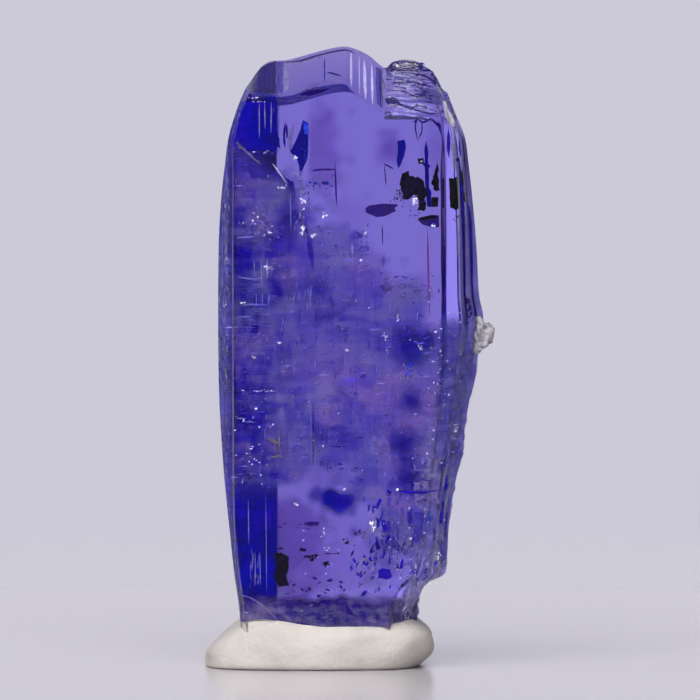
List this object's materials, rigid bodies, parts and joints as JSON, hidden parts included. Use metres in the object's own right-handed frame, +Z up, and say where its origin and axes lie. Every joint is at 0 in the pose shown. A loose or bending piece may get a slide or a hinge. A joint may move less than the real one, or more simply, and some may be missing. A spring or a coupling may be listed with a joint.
{
  "type": "rough tanzanite crystal",
  "caption": "Flattened prismatic violet-blue crystal with a ridged top and a broken foot, standing upright in a low pressed pad of off-white putty.",
  "frame": {"origin": "on the surface that the pad rests on, under the middle of the whole specimen", "axes": "+Z up along the crystal's length, +X to the right across its broad face, +Y away from the viewer of the broad front face"},
  "size_m": [0.012, 0.008, 0.0258],
  "materials": {
    "tanzanite": "polished",
    "putty": "matte"
  },
  "bodies": {
    "root": {"tanzanite_crystal": "tanzanite", "putty_pad": "putty"}
  },
  "joints": []
}
